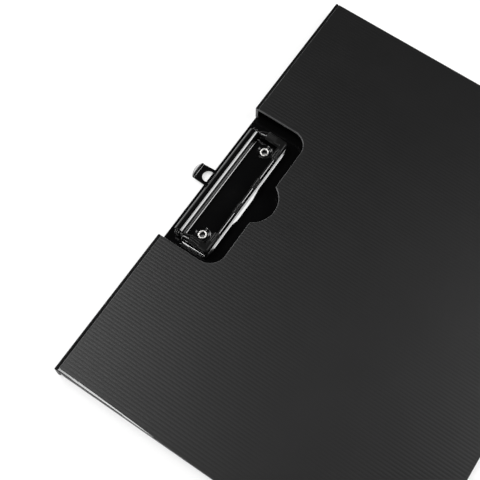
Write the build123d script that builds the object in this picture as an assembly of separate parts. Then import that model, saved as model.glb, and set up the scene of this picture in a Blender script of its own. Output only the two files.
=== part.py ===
from build123d import *
import math
import os

# A landscape clipboard folder for one A4 sheet lying on its long side. The
# origin is the centre of the back panel's underside. +X runs along the clip
# edge, +Y points out over that edge, and +Z goes up through the closed cover.
# All sizes are in millimetres.

# Folder sheets
sheet = 2.2
board_depth = 232.0
board_corner = 2.0
cover_width = 315.0
board_inset = 0.7
cover_reach = 232.8
cover_corner = 0.8
spine_gap = 8.1
spine_overhang = 1.0
crease_gap = 0.05
rest_gap = 0.05

# Cutout of the cover round the clip, measured along the cover
cutout_side_gap = 6.05
cutout_offset = 1.35
cutout_front_gap = 11.5
cutout_corner = 11.5
notch_radius = 17.3
notch_offset = 0.3
notch_inset = 8.7
notch_corner = 1.0
tongue_gap = 0.2

# Fixed plate of the clip, with its barrel
plate_sheet = 0.7
plate_side_gap = 0.5
plate_front_gap = 1.0
plate_corner = 3.0
barrel_length = 86.2
barrel_radius = 3.45
barrel_bend = 0.4
curl_slit = 55.0
pin_inset = 6.8

# Rivets, their dimples and their washers
rivet_inset = 7.5
rivet_reach = 13.0
rivet_bore = 3.4
rivet_wall = 0.6
rivet_head = 6.1
rivet_head_height = 1.0
rivet_head_round = 0.45
rivet_clinch = 6.6
rivet_clinch_height = 0.45
rivet_clearance = 0.05
dimple_floor = 7.8
dimple_wall = 1.1
washer_width = 10.0
washer_sheet = 0.5
recess_clearance = 0.2
floor_clearance = 0.05

# Hinge pin and torsion springs
pin_radius = 1.5
pin_head_radius = 2.1
pin_head_height = 1.2
spring_clearance = 0.05
spring_pitch = 1.6
spring_turns = 7
spring_inset = 3.0

# Sprung jaw
jaw_sheet = 0.8
arm_overlap = 1.1
arm_width = 4.3
ear_gap = 0.3
ear_radius = 2.5
ear_foot = 2.1
ear_bore_clearance = 0.03
arm_gap = 1.25
arm_start_rise = 7.2
crest_reach = 9.2
crest_rise = 9.0
fold_reach = 23.3
fold_rise = 7.1
bar_width = 1.8
gusset_width = 3.3
inner_wall = 4.2
cheek_rise = 0.9
flange_width = 2.3
flange_rear_overhang = 0.3
flange_front_inset = 1.4
lip_reach = 2.4
lip_angle = 33.0
lip_overhang = 1.0
jaw_gap = 0.08

# Rubber pieces of the jaw
rubber = 0.7
rubber_skirt = 2.4
corner_inset = 0.3
corner_bar_length = 14.6
lug_width = 8.4
lug_spacing = 21.0
lug_offset = 0.5
lug_depth = 1.5

# Hanger that slides under the fixed plate
hanger_sheet = 0.6
hanger_gap = 0.06
hanger_offset = 0.35
hanger_neck = 12.7
hanger_end = 11.9
hanger_out = 8.2
hanger_head = 20.0
hanger_head_depth = 3.0
hanger_travel_out = 4.0
hanger_hole = 8.2
hanger_hole_offset = 0.11
hanger_hole_out = 0.7
hanger_lip = 3.4
hanger_lip_angle = 45.0
hanger_lip_arch = 1.4
stud_radius = 1.2
stud_gap = 0.15

# Places that follow from the sizes above
board_width = cover_width - 2 * board_inset
folder_height = 2 * sheet + spine_gap
clip_edge = board_depth / 2
spine_face = clip_edge + spine_overhang
crease_y = spine_face - sheet / 2
lower_crease = sheet / 2
upper_crease = folder_height - sheet / 2
crease_reach = sheet / 2 + crease_gap
cover_span = cover_reach - sheet / 2
hanger_bottom = sheet + hanger_gap
plate_bottom = hanger_bottom + hanger_sheet + hanger_gap
plate_top = plate_bottom + plate_sheet
pin_y = clip_edge - pin_inset
pin_z = plate_bottom + barrel_radius
barrel_bore = barrel_radius - plate_sheet
rivet_y = pin_y - rivet_reach
rivet_x = barrel_length / 2 - rivet_inset
stud_y = pin_y - barrel_radius - barrel_bend - stud_gap - stud_radius
hanger_shoulder = stud_y - stud_radius - stud_gap - hanger_travel_out
shank_radius = rivet_bore / 2 + rivet_wall
recess_depth = floor_clearance + rivet_clinch_height + washer_sheet
ear_inside = barrel_length / 2 + ear_gap
ear_outside = ear_inside + jaw_sheet
arm_inside = barrel_length / 2 - arm_overlap
jaw_side = arm_inside + arm_width
plate_side = arm_inside - plate_side_gap
plate_front = pin_y - fold_reach + jaw_sheet + plate_front_gap
fold_y = pin_y - fold_reach
crest_y = pin_y - crest_reach
arm_start_y = pin_y - barrel_radius - arm_gap
cheek_foot = sheet + cheek_rise
fold_height = sheet + fold_rise
crest_height = sheet + crest_rise
arm_start_height = sheet + arm_start_rise
roof_slope = (crest_height - fold_height) / (fold_reach - crest_reach)
cutout_width = 2 * (jaw_side + flange_width + cutout_side_gap)
cutout_depth = spine_overhang + pin_inset + fold_reach + cutout_front_gap
cutout_left = cutout_offset - cutout_width / 2
cutout_right = cutout_offset + cutout_width / 2
sides = (("left", -1), ("right", 1))


def cover_slope():
    # The free edge's lower corner comes down to the back panel's top face.
    drop = upper_crease - sheet - rest_gap
    arm = math.hypot(cover_span, sheet / 2)
    return math.degrees(math.asin(drop / arm) - math.atan2(sheet / 2, cover_span))


def prism_along_x(points, x_from, x_to):
    face = make_face(Polyline(*points, close=True))
    return extrude(Plane.YZ.offset(x_from) * face, x_to - x_from)


def box_between(low, high):
    size = [b - a for a, b in zip(low, high)]
    centre = [(a + b) / 2 for a, b in zip(low, high)]
    return Pos(*centre) * Box(*size)


def disc(x, y, z_from, z_to, radius):
    return Pos(x, y, (z_from + z_to) / 2) * Cylinder(radius, z_to - z_from)


def turned(profile, x, y):
    # A profile of radius and height, turned about an upright axis.
    face = make_face(Polyline(*profile, close=True))
    return Pos(x, y, 0) * revolve(Plane.XZ * face, Axis.Z)


def roof_height(y):
    return fold_height + roof_slope * (y - fold_y)


def make_back_panel():
    rear = crease_y - crease_reach
    depth = rear + board_depth / 2
    outline = Pos(0, (rear - board_depth / 2) / 2) * RectangleRounded(board_width, depth, board_corner)
    tongue_width = cutout_width - 2 * tongue_gap
    tongue_depth = clip_edge - rear + board_corner
    outline += Pos(cutout_offset, clip_edge - tongue_depth / 2) * Rectangle(tongue_width, tongue_depth)
    panel = extrude(outline, sheet)
    for _, side in sides:
        x = side * rivet_x
        panel -= disc(x, rivet_y, 0, sheet, shank_radius + rivet_clearance)
        panel -= disc(x, rivet_y, 0, recess_depth, washer_width / 2 + recess_clearance)
    return panel


def make_spine(x_from, x_to):
    # Both long edges are round, centred on the creases that the edges turn about.
    section = Pos(crease_y, (lower_crease + upper_crease) / 2) * Rot(Z=90) * SlotCenterToCenter(
        upper_crease - lower_crease, sheet
    )
    return extrude(Plane.YZ.offset(x_from) * section, x_to - x_from)


def cutout_outline():
    # Drawn flat, with the crease line at y = 0 and the cover towards -Y.
    front = -(cutout_depth - sheet / 2)
    opening = Pos(cutout_offset, front / 2) * Rectangle(cutout_width, -front)
    corners = opening.vertices().sort_by(Axis.Y)[:2]
    opening = fillet(corners, cutout_corner)
    opening += Pos(notch_offset, -(cutout_depth - notch_inset - sheet / 2)) * Circle(notch_radius)
    near = [v for v in opening.vertices() if abs(v.X - notch_offset) < notch_radius]
    meeting = [v for v in near if abs(v.Y - front) < sheet / 100]
    return fillet(meeting, notch_corner)


def make_front_cover():
    depth = cover_span - crease_reach
    centre = -(cover_span + crease_reach) / 2
    outline = Pos(0, centre) * RectangleRounded(cover_width, depth, cover_corner)
    flat = extrude(outline - cutout_outline(), sheet / 2, both=True)
    return Pos(0, crease_y, upper_crease) * Rot(X=cover_slope()) * flat


def make_clip_plate():
    # The panel bends up into the barrel's front, and the sheet curls on over the
    # pin and back under it.
    wall_y = pin_y - barrel_radius
    bend_y = wall_y - barrel_bend
    bend_z = plate_top + barrel_bend
    centre = (pin_y, pin_z)
    far = 2 * barrel_radius
    slit = [centre, (pin_y - far, pin_z)]
    for turned_by in (curl_slit / 2, curl_slit):
        turn = math.radians(180 + turned_by)
        slit.append((pin_y + far * math.cos(turn), pin_z + far * math.sin(turn)))
    ring = Pos(*centre) * (Circle(barrel_radius) - Circle(barrel_bore))
    ring -= make_face(Polyline(*slit, close=True))
    ring += Pos(wall_y + plate_sheet / 2, (bend_z + pin_z) / 2) * Rectangle(plate_sheet, pin_z - bend_z)
    corner = Pos(bend_y, bend_z) * (Circle(barrel_bend + plate_sheet) - Circle(barrel_bend))
    reach = barrel_bend + plate_sheet
    ring += corner & Pos(bend_y + reach / 2, bend_z - reach / 2) * Rectangle(reach, reach)
    barrel = extrude(Plane.YZ * ring, barrel_length / 2, both=True)
    flat = box_between((-plate_side, plate_front, plate_bottom), (plate_side, bend_y, plate_top))
    corners = flat.edges().filter_by(Axis.Z).sort_by(Axis.Y)[:2]
    plate = fillet(corners, plate_corner) + barrel
    for _, side in sides:
        x = side * rivet_x
        floor = dimple_floor / 2
        rim = floor + dimple_wall
        plate -= disc(x, rivet_y, plate_bottom, plate_top, rim)
        plate += turned(
            [
                (shank_radius + rivet_clearance, sheet),
                (floor, sheet),
                (rim, plate_bottom),
                (rim, plate_top),
                (floor, sheet + plate_sheet),
                (shank_radius + rivet_clearance, sheet + plate_sheet),
            ],
            x,
            rivet_y,
        )
        stud_x = hanger_offset + side * (hanger_neck / 2 + stud_gap + stud_radius)
        plate += disc(stud_x, stud_y, sheet, plate_bottom, stud_radius)
    return plate


def make_rivet(side):
    seat = sheet + plate_sheet
    bore = rivet_bore / 2
    clinch_top = floor_clearance + rivet_clinch_height
    profile = [
        (bore, floor_clearance),
        (rivet_clinch / 2, floor_clearance),
        (rivet_clinch / 2, clinch_top),
        (shank_radius, clinch_top),
        (shank_radius, seat),
        (rivet_head / 2, seat),
        (rivet_head / 2, seat + rivet_head_height),
        (bore, seat + rivet_head_height),
    ]
    section = make_face(Polyline(*profile, close=True))
    rim = section.vertices().sort_by(Axis.Y)[-2:]
    section = fillet(rim, rivet_head_round)
    x = side * rivet_x
    return Pos(x, rivet_y, 0) * revolve(Plane.XZ * section, Axis.Z)


def make_washer(side):
    x = side * rivet_x
    bottom = recess_depth - washer_sheet
    ring = disc(x, rivet_y, bottom, recess_depth, washer_width / 2)
    return ring - disc(x, rivet_y, bottom, recess_depth, shank_radius + 2 * rivet_clearance)


def make_spring(side):
    # A coil round the pin, centred by the barrel it fills.
    inner = pin_radius + spring_clearance
    outer = barrel_bore - spring_clearance
    wire = (outer - inner) / 2
    length = spring_pitch * spring_turns
    path = Helix(spring_pitch, length, (inner + outer) / 2)
    start = Plane(origin=path @ 0, z_dir=path % 0)
    coil = sweep(start * Circle(wire), path, is_frenet=True)
    coil = Rot(Y=90) * coil
    end = barrel_length / 2 - spring_inset
    x = end - length if side > 0 else -end
    print("spring", side, "gap between turns", round(spring_pitch - 2 * wire, 2))
    return Pos(x, pin_y, pin_z) * coil


def make_hinge_pin():
    pin = Rot(Y=90) * Cylinder(pin_radius, 2 * ear_outside)
    for _, side in sides:
        head = Rot(Y=90) * Cylinder(pin_head_radius, pin_head_height)
        outer = head.faces().sort_by(Axis.X)[-1 if side > 0 else 0]
        head = fillet(outer.edges(), pin_head_height / 2)
        pin += Pos(side * (ear_outside + pin_head_height / 2), 0, 0) * head
    return Pos(0, pin_y, pin_z) * pin


def roof_outline(top, front, bottom):
    # The jaw seen from the side: front wall, sloping roof, crest and rear slope.
    return [
        (fold_y - front, bottom),
        (fold_y - front, fold_height + top),
        (crest_y, crest_height + top),
        (arm_start_y + front, arm_start_height + top),
        (arm_start_y + front, bottom),
    ]


def jaw_shell():
    outer = prism_along_x(roof_outline(0, 0, cheek_foot), -jaw_side, jaw_side)
    reach = jaw_side - jaw_sheet
    inner = prism_along_x(roof_outline(-jaw_sheet, -jaw_sheet, cheek_foot - jaw_sheet), -reach, reach)
    return outer - inner


def jaw_window():
    # The bar is narrow between the two gussets that carry the rubber corners.
    high = 2 * crest_height
    bar_end = jaw_side - corner_bar_length
    window = box_between((-arm_inside, fold_y + gusset_width, 0), (arm_inside, pin_y, high))
    return window + box_between((-bar_end, fold_y + bar_width, 0), (bar_end, pin_y, high))


def jaw_lip():
    # The front wall's foot flares out and down to the back panel.
    tilt = math.radians(lip_angle)
    edge_y = fold_y - lip_reach
    edge_z = sheet + jaw_gap + jaw_sheet * math.cos(tilt)
    root_z = edge_z + lip_reach * math.tan(tilt)
    under_y = edge_y + jaw_sheet * math.sin(tilt)
    under_rise = (fold_y + jaw_sheet - under_y) * math.tan(tilt)
    end = jaw_side + lip_overhang
    return prism_along_x(
        [
            (fold_y, root_z + jaw_sheet),
            (fold_y, root_z),
            (edge_y, edge_z),
            (under_y, sheet + jaw_gap),
            (fold_y + jaw_sheet, sheet + jaw_gap + under_rise),
            (fold_y + jaw_sheet, root_z + jaw_sheet),
        ],
        -end,
        end,
    )


def make_jaw_frame():
    frame = jaw_shell() - jaw_window()
    for _, side in sides:
        wall = prism_along_x(
            [
                (fold_y + gusset_width, roof_height(fold_y + gusset_width) - inner_wall),
                (fold_y + gusset_width, roof_height(fold_y + gusset_width)),
                (crest_y, crest_height),
                (arm_start_y, arm_start_height),
                (arm_start_y, crest_height - inner_wall),
                (crest_y, crest_height - inner_wall),
            ],
            arm_inside,
            arm_inside + jaw_sheet,
        )
        ear = prism_along_x(
            [
                (arm_start_y - jaw_sheet, arm_start_height),
                (arm_start_y - jaw_sheet, pin_z - ear_foot),
                (pin_y, pin_z - ear_radius),
                (pin_y, pin_z + ear_radius),
                (arm_start_y, arm_start_height),
            ],
            ear_inside,
            ear_outside,
        )
        round_end = Rot(Y=90) * Cylinder(ear_radius, jaw_sheet)
        ear += Pos((ear_inside + ear_outside) / 2, pin_y, pin_z) * round_end
        bore = Rot(Y=90) * Cylinder(pin_radius + ear_bore_clearance, 4 * jaw_sheet)
        ear -= Pos((ear_inside + ear_outside) / 2, pin_y, pin_z) * bore
        flange = box_between(
            (jaw_side - jaw_sheet, fold_y + flange_front_inset, cheek_foot),
            (jaw_side + flange_width, arm_start_y + flange_rear_overhang, cheek_foot + jaw_sheet),
        )
        half = wall + ear + flange
        frame += half if side > 0 else mirror(half, about=Plane.YZ)
    return frame + jaw_lip()


def jaw_block():
    # The space that the jaw's metal takes under its roof, without the hollow.
    return prism_along_x(roof_outline(0, 0, cheek_foot), -jaw_side, jaw_side) - jaw_window()


def rubber_cap(x_from, x_to, y_from, y_to):
    slab = prism_along_x(
        [
            (y_from, roof_height(y_from) - rubber_skirt),
            (y_from, roof_height(y_from) + rubber),
            (y_to, roof_height(y_to) + rubber),
            (y_to, roof_height(y_to) - rubber_skirt),
        ],
        x_from,
        x_to,
    )
    return slab


def make_jaw_corner(side):
    front = fold_y - rubber
    rear = crest_y - corner_inset
    outside = jaw_side + rubber
    cap = rubber_cap(arm_inside - rubber, outside, front, rear)
    cap += rubber_cap(jaw_side - corner_bar_length, outside, front, fold_y + gusset_width + rubber)
    cap -= jaw_block()
    return cap if side > 0 else mirror(cap, about=Plane.YZ)


def make_grip_lug(side):
    x = lug_offset + side * lug_spacing / 2
    lug = rubber_cap(x - lug_width / 2, x + lug_width / 2, fold_y - rubber, fold_y + lug_depth)
    return lug - jaw_block()


def make_hanger():
    top = hanger_bottom + hanger_sheet
    bend = clip_edge + hanger_out
    neck = hanger_neck / 2
    end = hanger_end / 2
    shoulder = hanger_shoulder
    tail = shoulder - hanger_head_depth
    plan = make_face(
        Polyline(
            (-hanger_head / 2, tail),
            (hanger_head / 2, tail),
            (hanger_head / 2, shoulder),
            (neck, shoulder),
            (neck, clip_edge),
            (end, bend),
            (-end, bend),
            (-neck, clip_edge),
            (-neck, shoulder),
            (-hanger_head / 2, shoulder),
            close=True,
        )
    )
    blade = Pos(0, 0, hanger_bottom) * extrude(plan, hanger_sheet)
    blade -= disc(
        hanger_hole_offset, clip_edge + hanger_hole_out, hanger_bottom, top, hanger_hole / 2
    )
    tilt = math.radians(hanger_lip_angle)
    rise = hanger_lip * math.sin(tilt)
    run = hanger_lip * math.cos(tilt)
    back = hanger_sheet * math.tan(tilt / 2)
    lean = hanger_sheet * math.sin(tilt)
    thick = hanger_sheet * math.cos(tilt)
    lip = prism_along_x(
        [
            (bend, hanger_bottom),
            (bend + run, hanger_bottom + rise),
            (bend + run - lean, hanger_bottom + rise + thick),
            (bend - back, top),
        ],
        -end,
        end,
    )
    arch = hanger_lip_arch
    tip = bend + run
    side_end = tip - arch
    sweep_radius = (end * end + arch * arch) / (2 * arch)
    keep = Pos(0, side_end - 2 * hanger_out) * Rectangle(2 * end, 4 * hanger_out)
    keep += Pos(0, tip - sweep_radius) * Circle(sweep_radius) & Pos(0, side_end + arch / 2) * Rectangle(
        2 * end, arch
    )
    lip = lip & extrude(keep, folder_height)
    return Pos(hanger_offset, 0, 0) * (blade + lip)


def build_parts():
    cover_side = cover_width / 2
    parts = {
        "back_panel": make_back_panel(),
        "spine_left": make_spine(-cover_side, cutout_left),
        "spine_right": make_spine(cutout_right, cover_side),
        "front_cover": make_front_cover(),
        "clip_plate": make_clip_plate(),
        "hinge_pin": make_hinge_pin(),
        "jaw_frame": make_jaw_frame(),
        "hanger": make_hanger(),
    }
    for name, side in sides:
        parts[f"rivet_{name}"] = make_rivet(side)
        parts[f"washer_{name}"] = make_washer(side)
        parts[f"spring_{name}"] = make_spring(side)
        parts[f"jaw_corner_{name}"] = make_jaw_corner(side)
        parts[f"grip_lug_{name}"] = make_grip_lug(side)
    return parts


os.makedirs("parts", exist_ok=True)
for node, solid in build_parts().items():
    export_step(solid, f"parts/{node}.step")
print("hinge pin axis", round(pin_y, 3), round(pin_z, 3))
print("creases", round(crease_y, 3), round(lower_crease, 3), round(upper_crease, 3))
print("cover slope", round(cover_slope(), 3))
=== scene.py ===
import math

import bmesh
import bpy
import numpy as np
from mathutils import Matrix, Vector


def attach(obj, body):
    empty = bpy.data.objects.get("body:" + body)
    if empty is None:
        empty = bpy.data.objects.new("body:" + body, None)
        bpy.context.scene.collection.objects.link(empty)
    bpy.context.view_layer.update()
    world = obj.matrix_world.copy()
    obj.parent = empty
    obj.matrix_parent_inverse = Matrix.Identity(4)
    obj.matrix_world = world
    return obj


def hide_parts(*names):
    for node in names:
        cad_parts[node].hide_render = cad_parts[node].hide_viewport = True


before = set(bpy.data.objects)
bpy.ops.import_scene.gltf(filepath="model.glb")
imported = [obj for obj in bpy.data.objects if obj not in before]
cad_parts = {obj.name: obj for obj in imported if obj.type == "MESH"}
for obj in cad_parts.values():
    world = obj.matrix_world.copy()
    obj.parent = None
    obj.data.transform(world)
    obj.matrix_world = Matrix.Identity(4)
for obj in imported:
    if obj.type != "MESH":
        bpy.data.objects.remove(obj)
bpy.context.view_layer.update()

# The clipboard folder's looks. Lengths are in millimetres until a mesh is made,
# in the same frame as the solids: +X along the clip edge, +Y out over it, +Z up.
millimetre = 0.001

# Folder sheets
sheet = 2.2
board_depth = 232.0
board_corner = 2.0
cover_width = 315.0
board_inset = 0.7
cover_reach = 232.8
cover_corner = 0.8
spine_gap = 8.1
spine_overhang = 1.0
crease_gap = 0.05
rest_gap = 0.05
rib_pitch = 2.2
rib_height = 0.047
rib_steps = 10
rib_sharpness = 1.5
edge_round = 0.35
edge_steps = 4
cut_hollow = 0.25
hollow_reach = 1.0
pressed_edge = 2.2
pressed_length = 78.0
pressed_angle = 30.0
pressed_foot = 0.7
pressed_foot_angle = 48.0
pressed_margin = 0.1
pressed_least = 0.2

# Cutout of the cover round the clip, measured along the cover
cutout_side_gap = 6.05
cutout_offset = 1.35
cutout_front_gap = 11.5
cutout_corner = 11.5
notch_radius = 17.3
notch_offset = 0.3
notch_inset = 8.7
notch_corner = 1.0
tongue_gap = 0.2

# Fixed plate of the clip, with its barrel
plate_sheet = 0.7
plate_side_gap = 0.5
plate_front_gap = 1.0
plate_corner = 3.0
barrel_length = 86.2
barrel_radius = 3.45
barrel_bend = 0.4
bend_round = 1.1
curl_slit = 55.0
pin_inset = 6.8

# Rivets and their dimples
rivet_inset = 7.5
rivet_reach = 13.0
rivet_bore = 3.4
rivet_wall = 0.6
rivet_head = 6.1
rivet_head_height = 1.0
rivet_seat_round = 0.25
rivet_rim_round = 0.6
rivet_bore_round = 0.7
rivet_foot_round = 0.2
rivet_clinch = 6.6
rivet_clinch_height = 0.45
rivet_clearance = 0.05
dimple_floor = 7.8
dimple_wall = 1.1
dimple_soft = 0.35
washer_width = 10.0
washer_sheet = 0.5
recess_clearance = 0.2
floor_clearance = 0.05

# Sprung jaw
jaw_sheet = 0.8
arm_overlap = 1.1
arm_width = 4.3
ear_gap = 0.3
ear_radius = 2.5
ear_foot = 2.1
ear_foot_step = 0.3
ear_root = 0.6
ear_root_drop = 0.7
arm_gap = 1.25
arm_start_rise = 7.2
crest_reach = 9.2
crest_rise = 9.0
crest_soft = 0.5
crest_ease = 4.0
fold_reach = 23.3
fold_rise = 7.1
bar_width = 1.8
gusset_width = 3.3
gusset_ease = 1.2
window_squeeze = 6.0
neck_run = 2.6
neck_lead = 0.6
neck_cover = 0.1
neck_lap = 0.05
inner_wall = 4.2
bar_wall_sheets = 1.3
cheek_rise = 0.9
flange_width = 2.3
flange_rear_overhang = 0.3
lip_reach = 2.4
lip_angle = 33.0
jaw_gap = 0.08
jaw_corner = 1.3
window_corner = 0.5
fold_round = 0.9
ridge_round = 1.7
foot_round = 0.45
lip_bow = 5.5
lip_bow_round = 11.0
flange_bow = 1.0
flange_foot_round = 0.9
flange_end = 0.5
flange_end_rise = 0.9
flange_end_cut = 0.85
flange_end_sharp = 0.8
flange_end_flat = 0.9
roof_share = 0.46

# Rubber pieces of the jaw
rubber = 0.7
rubber_skirt = 2.4
corner_inset = 0.3
corner_bar_length = 14.6
lug_width = 8.4
lug_spacing = 21.0
lug_offset = 0.5
rubber_rib = 0.45
rubber_rib_pitch = 1.4
rubber_clearance = 0.02
rubber_end_round = 0.45
rubber_flat = 1.4
rubber_flat_fade = 0.5
front_ribs_end = 39.5
arm_ribs_start = 5.0
ribs_fade = 1.0

# Hanger that slides under the fixed plate
hanger_sheet = 0.6
hanger_gap = 0.06
hanger_offset = 0.35
hanger_neck = 12.7
hanger_end = 11.9
hanger_out = 8.2
hanger_head = 20.0
hanger_head_depth = 3.0
hanger_travel_out = 4.0
hanger_hole = 8.2
hanger_hole_offset = 0.11
hanger_hole_out = 0.7
hanger_lip = 3.4
hanger_lip_angle = 45.0
hanger_lip_arch = 1.4
hanger_bend_round = 0.9
hanger_shoulder_step = 0.02
stud_radius = 1.2
stud_gap = 0.15

# How finely the meshes are divided, and where their points lie
hair = 1e-6
round_sides = 64
arc_steps = 5
corner_points = 9
rim_points = 4000
rim_share = 0.95
cover_rows = 4
pressed_rows = 9
board_rows = 8
spine_points = 13
plate_step = 0.4
bend_points = 9
curl_points = 57
rivet_head_steps = 8
rivet_foot_steps = 4
gusset_from = 30.0
gusset_to = 34.0
bar_step = 2.0
gusset_step = 0.25
front_step = 1.0
front_stop_gap = 0.2
corner_runs = 10
arm_first = 0.3
arm_near = 4.0
arm_near_step = 0.5
arm_step = 0.3
ear_points = 25
rubber_step = 0.35
rubber_points = 90
hook_columns = 25
hook_head_rows = 3
hook_rows = 8
hook_row_gap = 0.5
hook_bend_gap = 1.0
hook_bend_steps = 6
hook_lip_rows = 5
hook_lip_first = 0.2

# How the edges are rounded, in millimetres, and from which angle they are sharp, in degrees
plate_bevel = 0.16
jaw_bevel = 0.15
ear_bevel = 0.2
small_bevel = 0.12
bevel_steps = 3
hook_bevel_steps = 2
bevel_angle = 50.0
sheet_sharp = 45.0
metal_sharp = 40.0
rivet_sharp = 50.0

# Places that follow from the sizes above
board_width = cover_width - 2 * board_inset
folder_height = 2 * sheet + spine_gap
clip_edge = board_depth / 2
spine_face = clip_edge + spine_overhang
crease_y = spine_face - sheet / 2
lower_crease = sheet / 2
upper_crease = folder_height - sheet / 2
crease_reach = sheet / 2 + crease_gap
cover_span = cover_reach - sheet / 2
hanger_bottom = sheet + hanger_gap
plate_bottom = hanger_bottom + hanger_sheet + hanger_gap
plate_top = plate_bottom + plate_sheet
pin_y = clip_edge - pin_inset
pin_z = plate_bottom + barrel_radius
rivet_y = pin_y - rivet_reach
rivet_x = barrel_length / 2 - rivet_inset
stud_y = pin_y - barrel_radius - barrel_bend - stud_gap - stud_radius
hanger_shoulder = stud_y - stud_radius - stud_gap - hanger_travel_out
shank_radius = rivet_bore / 2 + rivet_wall
recess_depth = floor_clearance + rivet_clinch_height + washer_sheet
ear_inside = barrel_length / 2 + ear_gap
ear_outside = ear_inside + jaw_sheet
arm_inside = barrel_length / 2 - arm_overlap
jaw_side = arm_inside + arm_width
plate_side = arm_inside - plate_side_gap
plate_front = pin_y - fold_reach + jaw_sheet + plate_front_gap
fold_y = pin_y - fold_reach
crest_y = pin_y - crest_reach
arm_start_y = pin_y - barrel_radius - arm_gap
cheek_foot = sheet + cheek_rise
fold_height = sheet + fold_rise
crest_height = sheet + crest_rise
arm_start_height = sheet + arm_start_rise
cutout_width = 2 * (jaw_side + flange_width + cutout_side_gap)
cutout_depth = spine_overhang + pin_inset + fold_reach + cutout_front_gap
cutout_left = cutout_offset - cutout_width / 2
cutout_right = cutout_offset + cutout_width / 2
cutout_front = sheet / 2 - cutout_depth
sides = (("left", -1), ("right", 1))

# The cover's slope, which brings its free edge down to the back panel
drop = upper_crease - sheet - rest_gap
slant = math.hypot(cover_span, sheet / 2)
cover_slope = math.asin(drop / slant) - math.atan2(sheet / 2, cover_span)


# Materials

noise_low = 0.3
noise_high = 0.7
drift_grain = 0.05
drift_detail = 3
fine_detail = 4


def new_material(name):
    material = bpy.data.materials.new(name)
    material.use_nodes = True
    return material, material.node_tree.nodes, material.node_tree.links


def object_noise(nodes, links, scale, detail, kind="ShaderNodeTexNoise"):
    place = nodes.new("ShaderNodeTexCoord")
    texture = nodes.new(kind)
    texture.inputs["Scale"].default_value = scale
    if "Detail" in texture.inputs:
        texture.inputs["Detail"].default_value = detail
    links.new(place.outputs["Object"], texture.inputs["Vector"])
    return texture


def spread(nodes, links, source, low, high):
    # Turns the middle of a texture's range into the range from low to high.
    scaled = nodes.new("ShaderNodeMapRange")
    scaled.inputs["From Min"].default_value = noise_low
    scaled.inputs["From Max"].default_value = noise_high
    scaled.inputs["To Min"].default_value = low
    scaled.inputs["To Max"].default_value = high
    links.new(source, scaled.inputs["Value"])
    return scaled.outputs["Result"]


def blend_colours(nodes, links, factor, dark, light):
    mixed = nodes.new("ShaderNodeMix")
    mixed.data_type = "RGBA"
    mixed.inputs["A"].default_value = (*dark, 1)
    mixed.inputs["B"].default_value = (*light, 1)
    links.new(factor, mixed.inputs["Factor"])
    return mixed.outputs["Result"]


def add_bump(nodes, links, shader, height, distance):
    bump = nodes.new("ShaderNodeBump")
    bump.inputs["Strength"].default_value = 1
    bump.inputs["Distance"].default_value = distance * millimetre
    links.new(height, bump.inputs["Height"])
    links.new(bump.outputs["Normal"], shader.inputs["Normal"])


def surface(name, dark, light, rough, grain, bump, metallic=0.0, ior=1.5, kind="ShaderNodeTexNoise"):
    # The colour drifts slowly, and a fine grain changes the roughness and the height.
    material, nodes, links = new_material(name)
    shader = nodes["Principled BSDF"]
    shader.inputs["Metallic"].default_value = metallic
    shader.inputs["IOR"].default_value = ior
    drift = object_noise(nodes, links, drift_grain / millimetre, drift_detail)
    fine = object_noise(nodes, links, grain / millimetre, fine_detail, kind)
    height = fine.outputs["Distance"] if "Distance" in fine.outputs else fine.outputs["Fac"]
    factor = spread(nodes, links, drift.outputs["Fac"], 0, 1)
    links.new(blend_colours(nodes, links, factor, dark, light), shader.inputs["Base Color"])
    links.new(spread(nodes, links, fine.outputs[0], rough[0], rough[1]), shader.inputs["Roughness"])
    add_bump(nodes, links, shader, height, bump)
    return material


foam = surface(
    "foam_skin", (0.0030, 0.0030, 0.0031), (0.0042, 0.0042, 0.0043),
    rough=(0.40, 0.48), grain=3.0, bump=0.02, ior=1.4,
)
# The board's foam is smoother than the skin, and its darker colour paints the shade it lies in under the
# cover.
smooth_shaded_foam = surface(
    "foam_inside_painted_shade", (0.0018, 0.0018, 0.0019), (0.0026, 0.0026, 0.0027),
    rough=(0.12, 0.16), grain=3.0, bump=0.01, ior=1.2,
)
# A darker, less reflective copy of the foam for the upper crease: painted shade along the spine.
crease_shade_foam = surface(
    "foam_crease_painted_shade", (0.0018, 0.0018, 0.0019), (0.0026, 0.0026, 0.0027),
    rough=(0.40, 0.48), grain=3.0, bump=0.02, ior=1.16,
)
pressed_foam = surface(
    "foam_pressed", (0.0030, 0.0030, 0.0031), (0.0042, 0.0042, 0.0043),
    rough=(0.16, 0.22), grain=3.0, bump=0.01, ior=1.8,
)
# Cut foam is paler than its skin, as cut cells are, and the pale colour also paints the highlight that cut
# edges and their rounding catch.
cut_and_highlight_foam = surface(
    "foam_cut_and_painted_highlight", (0.09, 0.09, 0.091), (0.15, 0.15, 0.152),
    rough=(0.35, 0.5), grain=3.5, bump=0.04, kind="ShaderNodeTexVoronoi",
)
satin_steel = surface(
    "black_satin", (0.002, 0.002, 0.0021), (0.003, 0.003, 0.0031),
    rough=(0.11, 0.15), grain=2.0, bump=0.002, ior=1.33,
)
black_steel = surface(
    "black_gloss", (0.002, 0.002, 0.0021), (0.003, 0.003, 0.0031),
    rough=(0.06, 0.11), grain=2.0, bump=0.002, ior=1.56,
)
rubber_black = surface(
    "rubber_black", (0.003, 0.003, 0.003), (0.005, 0.005, 0.005),
    rough=(0.30, 0.38), grain=4.0, bump=0.01, ior=1.24,
)
nickel = surface(
    "nickel", (0.66, 0.65, 0.63), (0.78, 0.77, 0.75),
    rough=(0.46, 0.52), grain=3.0, bump=0.001, metallic=1.0,
)
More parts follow.
